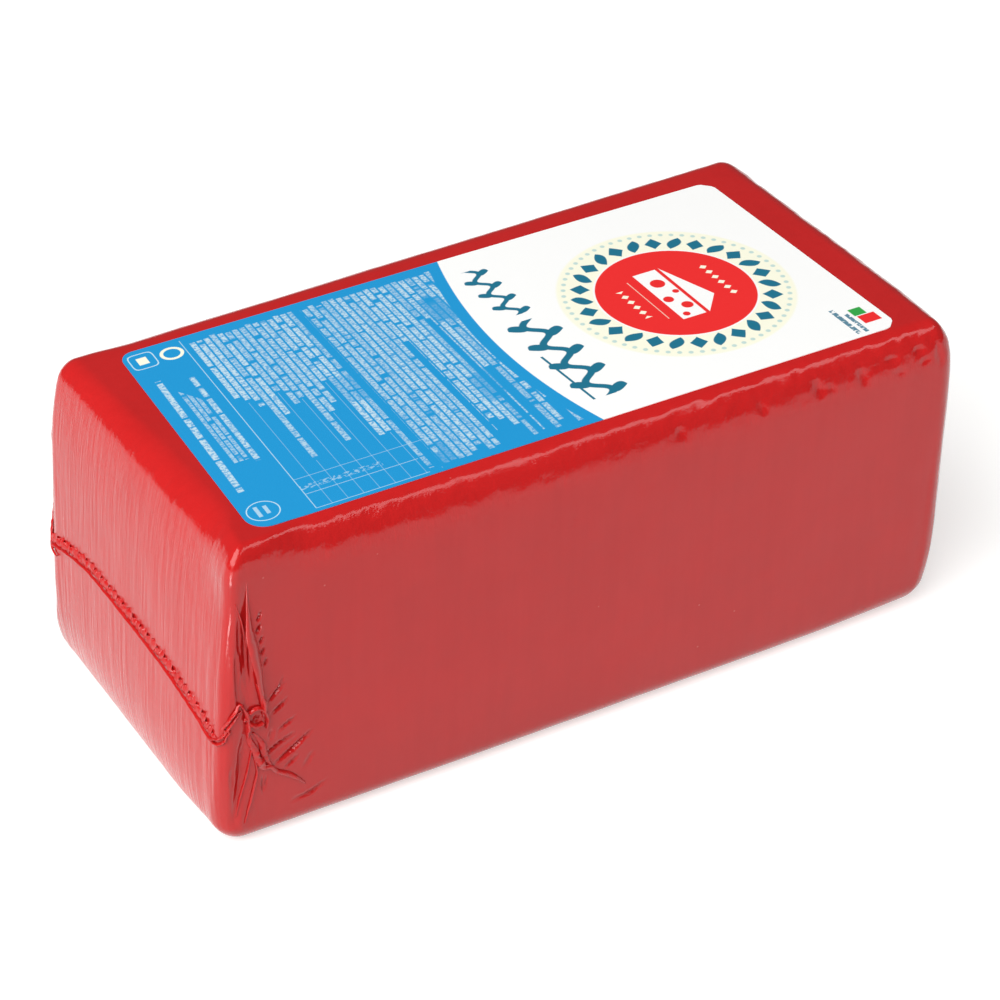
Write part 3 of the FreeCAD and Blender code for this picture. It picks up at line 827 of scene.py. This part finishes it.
def makeLabelMaterial():
    material = newMaterial("label_print")
    tree = material.node_tree
    uvX, uvY, _ = parted(Wire(addNode(tree, "ShaderNodeUVMap", uv_map="print").outputs[0]))
    a, b = uvX * label["length"], uvY * label["width"]     # millimetres from the near left corner
    colour = printColours["white"]

    def dab(distance, soft=0.12):
        # 1 inside the outline, 0 outside
        return distance.ease(-soft, soft, 1, 0)

    def discAt(x, y, radius, stretch=1.0):
        return (((a - x) / stretch) ** 2 + (b - y) ** 2).root() - radius

    def bar(x0, x1, y0, y1, p=a, q=b):
        return (abs(p - (x0 + x1) / 2) - (x1 - x0) / 2).atLeast(abs(q - (y0 + y1) / 2) - (y1 - y0) / 2)

    def chance(seed):
        # an even random number for each whole seed
        node = addNode(tree, "ShaderNodeTexWhiteNoise", {"W": seed}, noise_dimensions="1D")
        return Wire(node.outputs["Value"])

    def words(line, place, boldness):
        # pale word shapes along a line of small print, broken by gaps and speckled like lettering
        gaps = noise(joined(line * 7.3, place * 0.33 + chance(line) * 40, 0), 1.0, 1)
        speckle = noise(joined(a * 0.8 + 3, place * 1.25, 4), 1.0, 2, 0.65)
        return gaps.ease(0.33, 0.41) * speckle.ease(0.38, 0.6, 0.25, 1) * boldness

    def ink(share, name):
        nonlocal colour
        colour = mixed(share, colour, printColours[name])

    # the blue field ends in a bowed edge
    bow = 105.2 + (b - 50) ** 2 * 0.0028
    blue = dab(a - bow, 0.15)
    ink(blue, "blue")

    # lines of small print run along the short way, in paragraphs with uneven ends
    row = (a - 22) / 2.45
    line = row.whole()
    luck, fate = chance(line + 0.5), chance(line + 40.5)
    lowEnd = (luck * 44 + 20) * (a < 54) + (fate ** 5 * 40 + 3) * (a > 54)
    lineBar = abs(row - line - 0.5).ease(0.3, 0.42, 1, 0)
    block = joined((line / 3).whole() * 3.1, (b / 15 + luck * 0.4).whole() * 5.7, 2)
    block = noise(block, 1.0, 0).ease(0.24, 0.28)
    gapLine = 1 - (abs(a - 59.5) < 1.3) - (abs(a - 81.5) < 1.2) * (b < 66) - (abs(a - 93.5) < 1.1) * (b < 74)
    inside = (a > 22) * (b > lowEnd) * (b < 98.6 - luck * 1.5) * dab(a - bow + 4.0)
    smallPrint = words(line, b, 0.55 + fate * 0.45) * lineBar * block * gapLine * inside

    # the near left column: one bold line, three thin ones and a medium one
    bold = words(0, b, 1.0) * dab(abs(a - 5.0 - (b - 50) * 0.012) - 0.95, 0.2) * (b > 19) * (b < 83)
    thinRow = (a - 8.4) / 1.75
    thin = words(thinRow.whole() + 90, b, 0.62) * abs(thinRow % 1 - 0.5).ease(0.3, 0.42, 1, 0)
    thin = thin * (a > 8.4) * (a < 13.6) * (b > 33) * (b < 76 - (a - 8) * 1.5)
    medium = words(7, b, 0.85) * dab(abs(a - 15.4) - 0.85, 0.2) * (b > 31) * (b < 80)
    ink((smallPrint + bold + thin + medium).atMost(0.85), "print")

    # thin rules: the column line and a small table at the near edge
    rule = dab(abs(a - 20.1) - 0.13, 0.1) * (b > 1.4) * (b < 100)
    grid = dab(abs((a - 20.1) % 5 - 2.5) * -1 + 2.4, 0.1) * (a > 22) * (a < 61) * (b > 1.4) * (b < lowEnd - 1)
    cross = dab((abs(b - 9) - 0.1).atMost(abs(b - 1.4) - 0.1), 0.1) * (a < 56)
    cross = cross + dab(abs(b - 17) - 0.1, 0.1) * (a < 66) * 0.7
    figures = noise(joined(a * 0.7, b * 1.5, 9), 1.0, 1).ease(0.5, 0.56)
    figures = figures * dab(abs(b - 12.2) - 1.1) * (a < 46) * 0.6
    lines = rule + (grid * 0.45 + (cross + figures) * (a > 20.1) * blue)
    ink(lines.atMost(1) * 0.8, "paleBlue")

    # plain marks in the near left column: a framed square, a ring and an oval with two bars
    frameSquare = (abs(a - 5.8) ** 5 + abs(b - 95.3) ** 5) ** 0.2 - 4.1
    ink(dab(abs(frameSquare) - 0.18), "paleBlue")
    ink(dab(bar(4.0, 7.4, 93.4, 97.2)), "cream")
    ink(dab(abs(discAt(15.4, 94.9, 2.9, 1.15)) - 0.5), "cream")
    oval = discAt(6.4, 7.6, 4.6, 1.05)
    ink(dab(abs(oval) - 0.16), "paleBlue")
    ink((dab(bar(4.2, 5.4, 5.2, 10.4)) + dab(bar(6.9, 8.1, 5.8, 9.8))) * 0.7, "paleBlue")

    # a leafy vine in teal beside the blue field, with a thin rule under its near half
    far = b > 60.5
    large = 1 - far * 0.3
    beat = (b - 10 - far * 52) / (6.0 * large)
    spine = 119.6 + (b - 50) * -0.02
    swing = (beat * math.pi).sine() * 2.5 * large
    slant = ((beat * math.pi).cosine() ** 2 * 1.7 + 1).root()      # keeps the stroke even where it slants
    onVine = (b > 10.5) * (b < 58.5) + (b > 62.3) * (b < 92)
    ink(dab(abs(a - spine - swing) / slant - 1.15 * large, 0.2) * onVine, "teal")
    leaf = beat.whole()
    sideWay = (leaf % 2) * -2 + 1
    leafB = (beat - leaf - 0.5) * 6.0 * large
    leafA = (a - spine) * sideWay - 4.6 * large - leafB * 0.6
    leafShape = dab(abs(leafB) - (1 - (leafA / (3.2 * large)) ** 2) * 2.3 * large, 0.2)
    ink(leafShape * onVine * (abs(leafA) < 3.2 * large), "teal")
    ink(dab(abs(a - 114.4 + (b - 24) * 0.075) - 0.42) * (b > 10.4) * (b < 38.2), "teal")

    # the round badge: pale halo, a ring of small dots, a ring of leaves and diamonds, and a red disc
    cx, cy = 168.4, 49.6
    radius = ((a - cx) ** 2 + (b - cy) ** 2).root()
    turn = calc(tree, "ARCTAN2", b - cy, a - cx) / (2 * math.pi) + 0.5
    ink((radius - 37.0).ease(-0.6, 0.6, 1, 0), "cream")
    dots = turn * 64
    ink(dab(((dots % 1 - 0.5) ** 2 * 11.4 + (radius - 34.8) ** 2).root() - 0.75, 0.25) * 0.7, "paleTeal")
    cell = turn * 28
    offBeat = cell.whole() % 2
    slip = (cell % 1 - 0.5) * 6.6
    rise = radius - 29.6
    diamond = abs(slip) * 1.15 + abs(rise) - 3.2
    leafShape = (abs(slip + rise * 0.35) - (1 - (rise / 3.4) ** 2) * 2.1).atLeast(abs(rise) - 3.4)
    ink(dab(diamond * offBeat + leafShape * (1 - offBeat), 0.2), "teal")
    ink(dab(radius - 25.6, 0.2), "white")
    ink(dab(radius - 25.0, 0.15), "red")

    # a wedge of cheese on the disc, between two rows of small diamonds
    p, q = (b - cy) * -1, a - cx
    rind = bar(-14.5, 14.5, -6.6, 1.6, p, q)
    topFace = (q * -1 + 2.9).atLeast((q - 2.9) - (p + 14.5) * 0.33).atLeast((q - 2.9) + (p - 14.5) * 0.85)
    holes = ((p + 7) ** 2 + (q + 2.2) ** 2).root() - 2.4
    for x, y, r in ((2.5, -4.3, 1.7), (7.8, -0.9, 1.9), (-0.6, 0.3, 1.1), (12.2, -4.0, 1.2)):
        holes = holes.atMost(((p - x) ** 2 + (q - y) ** 2).root() - r)
    wedge = rind.atLeast(-holes).atMost(topFace)
    ink(dab(wedge, 0.15), "white")
    pip = abs(p % 3.4 - 1.7) * 1.2 - 1.35
    above, below = dab(pip + abs(q - 15.6), 0.2), dab(pip + abs(q + 15.2), 0.2)
    ink(above * (abs(p) < 10.2) + below * (abs(p) < 8.5), "cream")
    ink(dab(abs(q + 10.2) - 0.16, 0.1) * (abs(p) < 12) * 0.6, "cream")

    # small patches near the far end
    ink(dab(bar(207.2, 211.6, 10.6, 14.6)), "green")
    ink(dab(bar(207.6, 213.6, 5.6, 10.2)), "red")
    small = noise(joined(a * 0.5, b * 1.3, 5), 1.0, 1).ease(0.4, 0.46)
    ink((dab(bar(202.0, 203.6, 1.6, 17)) + dab(bar(204.8, 206.2, 1.6, 13))) * small * 0.9, "teal")

    relief = placeGroup(tree, filmRelief, {"Point": objectPoint(tree), "Crinkle": 1.0, "Pits": 0.2})
    finishMaterial(material, {
        "Base Color": colour,
        "Roughness": relief["Scuff"] * label["scuffing"] + label["roughness"],
        "Normal": bumped(relief["Height"], label["bumpStrength"], label["bumpDepth"] * mm),
    })
    return material


labelPrint = makeLabelMaterial()


def labelPlace(a, b):
    # pulls a point near a corner in, so that the corner is round or cut
    length, width = label["length"], label["width"]
    key = ("front" if b < width / 2 else "back") + ("Left" if a < length / 2 else "Right")
    r = label["rounds"][key]
    qa, qb = max(r, min(length - r, a)), max(r, min(width - r, b))
    da, db = a - qa, b - qb
    if da and db:
        reach = abs(da) + abs(db) if key.endswith("Right") else math.hypot(da, db)
        shrink = max(abs(da), abs(db)) / reach
        a, b = qa + da * shrink, qb + db * shrink
    return a / length, b / width


def makeLabel():
    corners = {key: Vector(label[key]) for key in ("backLeft", "backRight", "frontRight", "frontLeft")}
    columns, rows = label["columns"], label["rows"]
    mesh = bpy.data.meshes.new("printed_label")
    work = bmesh.new()
    uvLayer = work.loops.layers.uv.new("print")
    where, grid = {}, []
    for i in range(columns + 1):
        grid.append([])
        for j in range(rows + 1):
            u, v = labelPlace(label["length"] * i / columns, label["width"] * j / rows)
            low = corners["frontLeft"].lerp(corners["frontRight"], u)
            flat = low.lerp(corners["backLeft"].lerp(corners["backRight"], u), v) * mm
            vert = work.verts.new((flat.x, flat.y, settledTop(flat)))
            where[vert] = (u, v)
            grid[i].append(vert)
    for i in range(columns):
        for j in range(rows):
            work.faces.new((grid[i][j], grid[i + 1][j], grid[i + 1][j + 1], grid[i][j + 1]))
    rim = [e for e in work.edges if e.is_boundary]
    for edge in rim:
        edge.smooth = False
    # the sides go down into the film and keep the print of the rim above them
    for vert in bmesh.ops.extrude_edge_only(work, edges=rim)["geom"]:
        if isinstance(vert, bmesh.types.BMVert):
            above = next(w for e in vert.link_edges for w in e.verts if w in where and w.co == vert.co)
            where[vert] = where[above]
            vert.co.z -= label["thickness"] * mm * 1.5
    bmesh.ops.recalc_face_normals(work, faces=work.faces)
    # the new sides come in a random order, so the faces are put in the order of their points
    work.verts.index_update()
    count = len(work.verts)
    work.faces.sort(key=lambda face: max(v.index for v in face.verts) * count
                    + min(v.index for v in face.verts))
    for face in work.faces:
        face.smooth = True
        for loop in face.loops:
            loop[uvLayer].uv = where[loop.vert]
    work.to_mesh(mesh)
    work.free()
    return linkObject("printed_label", mesh, labelPrint)


def settledTop(flat):
    hit = filmTree.ray_cast(Vector((flat.x, flat.y, height * 1.3)), Vector((0, 0, -1)))
    return hit[0].z + label["thickness"] * mm


labelPiece = makeLabel()
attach(labelPiece, "root")
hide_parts("label")
print("label made")

# a white floor, a pale world and soft lamps
studio = {
    "floorWhite": (0.66, 0.66, 0.655, 1), "floorRoughness": 0.9, "floorReach": 6.0, "floorDrop": 0.2,
    "floorGlow": (1, 1, 0.985, 1), "glowStrength": 0.57, "world": 0.14,
    # each lamp: the way towards it, its size in metres and its power in watts
    "key": {"way": (-0.72, -0.27, 0.75), "away": 3.0, "size": (3.0, 3.0), "power": 148},
    "front_fill": {"way": (0.446, -0.55, 0.706), "away": 2.0, "size": (1.8, 0.3), "power": 5.2},
    # these two stand at a place measured from a lower corner of the block
    "right_fill": {"way": (0.6, -0.75, 0.3), "place": (0.14, -0.3, 0.16), "size": (0.2, 0.2), "power": 0.12},
    "corner_glint": {"way": (-0.35, -0.22, -0.9), "place": (-0.16, -0.1, 0.035), "size": (0.045, 0.2),
                     "power": 0.25},       # a low strip for the glint down the near upright edge
}


def makeFloor():
    mesh = bpy.data.meshes.new("floor")
    reach = studio["floorReach"]
    corners = [(-reach, -reach, 0), (reach, -reach, 0), (reach, reach, 0), (-reach, reach, 0)]
    mesh.from_pydata(corners, [], [(0, 1, 2, 3)])
    material = newMaterial("floor_white")
    tree = material.node_tree
    light = tree.nodes.new("ShaderNodeLightPath")
    seen = (Wire(light.outputs["Is Camera Ray"]) + Wire(light.outputs["Is Glossy Ray"])
            + Wire(light.outputs["Is Transmission Ray"])).atMost(1)
    finishMaterial(material, {
        "Base Color": studio["floorWhite"], "Roughness": studio["floorRoughness"], "Specular IOR Level": 0.0,
        "Emission Color": studio["floorGlow"], "Emission Strength": seen * studio["glowStrength"],
    })
    floor = linkObject("floor", mesh, material)
    floor.location.z = -studio["floorDrop"] * mm


def makeLamp(name, corner=None):
    settings = studio[name]
    data = bpy.data.lights.new(name, "AREA")
    data.shape = "RECTANGLE"
    data.size, data.size_y = settings["size"]
    data.energy = settings["power"]
    lamp = bpy.data.objects.new(name, data)
    bpy.context.scene.collection.objects.link(lamp)
    way = Vector(settings["way"]).normalized()
    if corner:
        lamp.location = Vector(corner) + Vector(settings["place"])
        lamp.visible_camera = False
    else:
        lamp.location = (cadLow + cadHigh) / 2 + way * settings["away"]
    lamp.rotation_mode = "QUATERNION"
    lamp.rotation_quaternion = way.to_track_quat("Z", "Y")
    return lamp


def makeWorld():
    world = bpy.data.worlds.new("studio")
    world.use_nodes = True
    back = world.node_tree.nodes["Background"]
    back.inputs["Color"].default_value = (1, 1, 1, 1)
    back.inputs["Strength"].default_value = studio["world"]
    bpy.context.scene.world = world


makeFloor()
makeWorld()
makeLamp("key")
makeLamp("front_fill")
makeLamp("right_fill", (cadHigh.x, cadLow.y, 0)).visible_glossy = False
makeLamp("corner_glint", (cadLow.x, cadLow.y, 0)).visible_diffuse = False
print("studio lit")

scene = bpy.context.scene
scene.view_settings.view_transform = "Standard"
